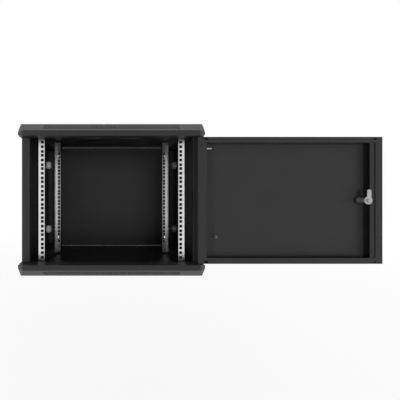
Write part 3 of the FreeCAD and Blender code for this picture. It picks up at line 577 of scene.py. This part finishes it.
thread = {
    "radius": 0.0030,
    "depth": 0.00045,
    "pitch": 0.0010,
    "rowsPerPitch": 6,
    "tip": 0.0008,  # length and depth of the chamfered end
    "inHead": 0.0005,  # how far a bolt's thread starts inside its head
    "nutFrom": 0.004,  # an earth stud's nut, from the sheet that the stud stands on
    "around": 24,
}


def threadRings(low, high):
    # The crest winds once round per pitch: its depth is a triangle wave of height less turn.
    turn = np.linspace(0, 1, thread["around"], endpoint=False)
    rows = int((high - low) / thread["pitch"] * thread["rowsPerPitch"])
    height = np.linspace(low, high, rows)[:, None] + 0 * turn
    wave = np.abs((height / thread["pitch"] - turn) % 1 - 0.5) * 2
    tip = np.clip((high - height) / thread["tip"], 0, 1) * thread["tip"]
    radius = np.minimum(thread["radius"] - thread["depth"] * wave, thread["radius"] - thread["tip"] + tip)
    return radius, height


def hexBolt(box, along, sign):
    # The head is capped on top; the threaded shank is a grid of its own that starts inside it.
    end, axis, corner, length = axisOf(box, along, sign)
    radius, height = hexRings(-hexagon["thickness"], 0, (False, True))
    head = ringPoints(end, axis, corner, radius, height, hexagon["around"])
    radius, height = threadRings(hexagon["thickness"] - thread["inHead"], length)
    shank = ringPoints(end, -axis, corner, radius, height, thread["around"])
    return [(head, False), (shank, False)]


def hexNutAlone(box, along, sign):
    end, axis, corner, length = axisOf(box, along, sign)
    return hexNut(end, axis, corner, -length, 0)


def weldStud(box, along, sign):
    end, axis, corner, length = axisOf(box, along, sign)
    radius, height = threadRings(0, length)
    rod = ringPoints(end - axis * length, axis, corner, radius, height, thread["around"])
    low = thread["nutFrom"] - length
    return [(rod, False), hexNut(end, axis, corner, low, low + hexagon["thickness"])]


def sideOf(box, along):
    return float(np.sign(box[0][along] + box[1][along]))


screwGrids = [panScrew(b, 0, sideOf(b, 0)) for b in fastenerBoxes("frame_screws")]
standFor(surfacePiece("frameScrews", screwGrids), "frame_screws")
plateGrids = [panScrew(b, 2, -sideOf(b, 2)) for b in fastenerBoxes("cable_plate_screws")]
standFor(surfacePiece("cablePlateScrews", plateGrids), "cable_plate_screws")
boltGrids = sum([hexBolt(b, 0, -sideOf(b, 0)) for b in fastenerBoxes("rail_bolts")], [])
standFor(surfacePiece("railBolts", boltGrids), "rail_bolts")
nutGrids = [hexNutAlone(b, 0, sideOf(b, 0)) for b in fastenerBoxes("rail_nuts")]
standFor(surfacePiece("railNuts", nutGrids), "rail_nuts")
for name in ("cabinet_earth_stud", "door_earth_stud"):
    studGrids = sum([weldStud(b, 1, -1) for b in fastenerBoxes(name)], [])
    standFor(surfacePiece(name.replace("_", "") + "Threaded", studGrids), name)
print("stage: fasteners made")


spring = {
    "turns": 7,
    "wire": 0.0010,
    "deadTurn": 0.00115,  # rise of the closed turn at each end
    "play": 0.00005,  # between the spring and what it stands on
    "rowsPerTurn": 36,
    "around": 12,
    "foot": 0.1698,  # the bracket's upper face
    "travel": 0.012,
}


def hingeSpring():
    # A wire whose centre winds about the pin: height rises slowly in the end turns, evenly between.
    low, high = (np.array(corner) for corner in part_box("hinge_spring"))
    centre = (low + high) / 2
    wire = spring["wire"] / 2
    reach = (high[0] - low[0]) / 2 - wire
    turns = spring["turns"]
    along = np.linspace(0, turns, turns * spring["rowsPerTurn"] + 1)
    rise = high[2] - low[2] - 2 * wire - 2 * spring["play"]
    marks = [0, spring["deadTurn"], rise - spring["deadTurn"], rise]
    height = low[2] + wire + spring["play"] + np.interp(along, [0, 1, turns - 1, turns], marks)
    angle = 2 * np.pi * along
    zero = np.zeros_like(along)
    spoke = np.column_stack([np.cos(angle), np.sin(angle), zero])
    middle = centre * [1, 1, 0] + spoke * reach + np.column_stack([zero, zero, height])
    turn = np.linspace(0, 2 * np.pi, spring["around"], endpoint=False)
    cosine, sine = np.cos(turn)[None, :, None], np.sin(turn)[None, :, None]
    section = cosine * spoke[:, None] + sine * np.array([0, 0, -1.0])
    piece = surfacePiece("hingeSpringCoil", [(middle[:, None] + wire * section, False)])
    for face in piece.data.polygons:
        face.use_smooth = len(face.vertices) == 4
    standFor(piece, "hinge_spring")
    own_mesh(piece)


hingeSpring()
print("stage: hinge spring wound")


# Studio: a pale floor well below the cabinet, and soft light from above, from the front and from the left.
# A level of 1 is as bright as white.
studio = {
    "floorDrop": 0.62,  # below the cabinet's lowest point
    "floorSize": 30.0,
    "floorColour": (0.95, 0.95, 0.95, 1),
    "floorWhite": (0.9, 1.0),  # how much of the backdrop's white it shows, near by and far away
    "floorFade": (1.0, 4.5),  # distances between which that changes
    "everywhere": 0.05,  # the room's light, and what is added towards its ceiling
    "up": 0.5,
    "lobe": 2.0,  # how narrow that addition is
    "aboveLevel": 0.6,
    "abovePlace": (0.0, 0.35, 1.65),
    "aboveTarget": (0.0, -0.40, 0.2),
    "aboveSize": (1.8, 1.0),
    "frontLevel": 16.0,
    "frontPlace": (1.0, -5.0, 0.1),
    "frontTarget": (0.15, -0.3, 0.0),
    "frontSize": (1.4, 1.4),
    "leftLevel": 32.0,
    "leftPlace": (-1.55, -1.75, -0.3),
    "leftTarget": (0.3, -0.43, 0.0),
    "leftSize": (0.35, 0.35),
}
low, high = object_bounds()
floorLevel = low[2] - studio["floorDrop"]


def backdropSwitch(paint, seen, shown, behind):
    # Shows one shader to the camera, to mirrors and to glass, and another to everything else.
    camera = paint.node("ShaderNodeLightPath", {}, {}, out="Is Camera Ray")
    glossy = paint.node("ShaderNodeLightPath", {}, {}, out="Is Glossy Ray")
    through = paint.node("ShaderNodeLightPath", {}, {}, out="Is Transmission Ray")
    direct = paint.sum("MINIMUM", camera + glossy + through, 1.0)
    return paint.node("ShaderNodeMixShader", {}, {0: direct * seen, 1: behind, 2: shown})


def floorPaint():
    paint, where = startPaint("paleFloor")
    diffuse = paint.node("ShaderNodeBsdfDiffuse", {}, {"Color": studio["floorColour"]})
    glow = paint.node("ShaderNodeEmission", {}, {"Color": (1, 1, 1, 1), "Strength": 1.0})
    away = paint.node("ShaderNodeVectorMath", {"operation": "LENGTH"}, {0: where}, out=1)
    near, far = studio["floorFade"]
    share = paint.sum("MINIMUM", paint.sum("MAXIMUM", (away - near) / (far - near), 0.0), 1.0)
    least, most = studio["floorWhite"]
    return paint.show(backdropSwitch(paint, least + share * (most - least), glow, diffuse))


def makeFloor():
    half = studio["floorSize"] / 2
    corners = np.array([(-half, -half), (half, -half), (half, half), (-half, half)])
    points = np.column_stack([corners, np.full(4, floorLevel)])
    mesh = bpy.data.meshes.new("floor")
    mesh.from_pydata(points.tolist(), [], [(0, 1, 2, 3)])
    floor = bpy.data.objects.new("floor", mesh)
    bpy.context.scene.collection.objects.link(floor)
    dress(floor, floorPaint())


def makeWorld():
    world = bpy.data.worlds.new("studio")
    bpy.context.scene.world = world
    paint = Paint(world)
    direction = paint.node("ShaderNodeTexCoord", out="Generated")
    upward = paint.node("ShaderNodeSeparateXYZ", {}, {0: direction}, out="Z")
    strength = studio["everywhere"] + paint.sum("MAXIMUM", upward, 0.0) ** studio["lobe"] * studio["up"]
    light = paint.node("ShaderNodeBackground", {}, {"Color": (1, 1, 1, 1), "Strength": strength})
    white = paint.node("ShaderNodeBackground", {}, {"Color": (1, 1, 1, 1), "Strength": 1.0})
    paint.show(backdropSwitch(paint, 1.0, white, light), "ShaderNodeOutputWorld")


def softbox(name, level, place, target, size):
    # An even rectangle of light; its power follows from how bright it is to look at.
    lamp = bpy.data.lights.new(name, "AREA")
    lamp.shape, lamp.size, lamp.size_y = "RECTANGLE", size[0], size[1]
    lamp.energy = level * math.pi * size[0] * size[1]
    thing = bpy.data.objects.new(name, lamp)
    bpy.context.scene.collection.objects.link(thing)
    thing.location = place
    thing.rotation_euler = (Vector(target) - Vector(place)).to_track_quat("-Z", "Y").to_euler()
    thing.visible_glossy = name == "aboveBox"  # the others only fill, and metal doesn't mirror them


makeFloor()
makeWorld()
for where in ("above", "front", "left"):
    softbox(f"{where}Box", *(studio[f"{where}{what}"] for what in ("Level", "Place", "Target", "Size")))
print("stage: studio lit")


# The camera looks straight along +Y, a little above mid-height, from in front of the cabinet alone.
view = {
    "distance": 0.770,  # from the bezels' front plane
    "height": 0.0326,
    "acrossShift": 0.22125,  # the door stands out to the right of the line of sight
    "upShift": -0.025,
    "sensor": 36.0,
    "lens": 22.23,
}


def makeCamera():
    lens = bpy.data.cameras.new("camera")
    lens.sensor_width, lens.lens = view["sensor"], view["lens"]
    lens.shift_x, lens.shift_y = view["acrossShift"], view["upShift"]
    camera = bpy.data.objects.new("camera", lens)
    bpy.context.scene.collection.objects.link(camera)
    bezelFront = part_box("top_cover")[0][1]
    camera.location = (0, bezelFront - view["distance"], view["height"])
    camera.rotation_euler = (math.pi / 2, 0, 0)
    bpy.context.scene.camera = camera


makeCamera()
bpy.context.scene.view_settings.view_transform = "Standard"
print("stage: camera set")
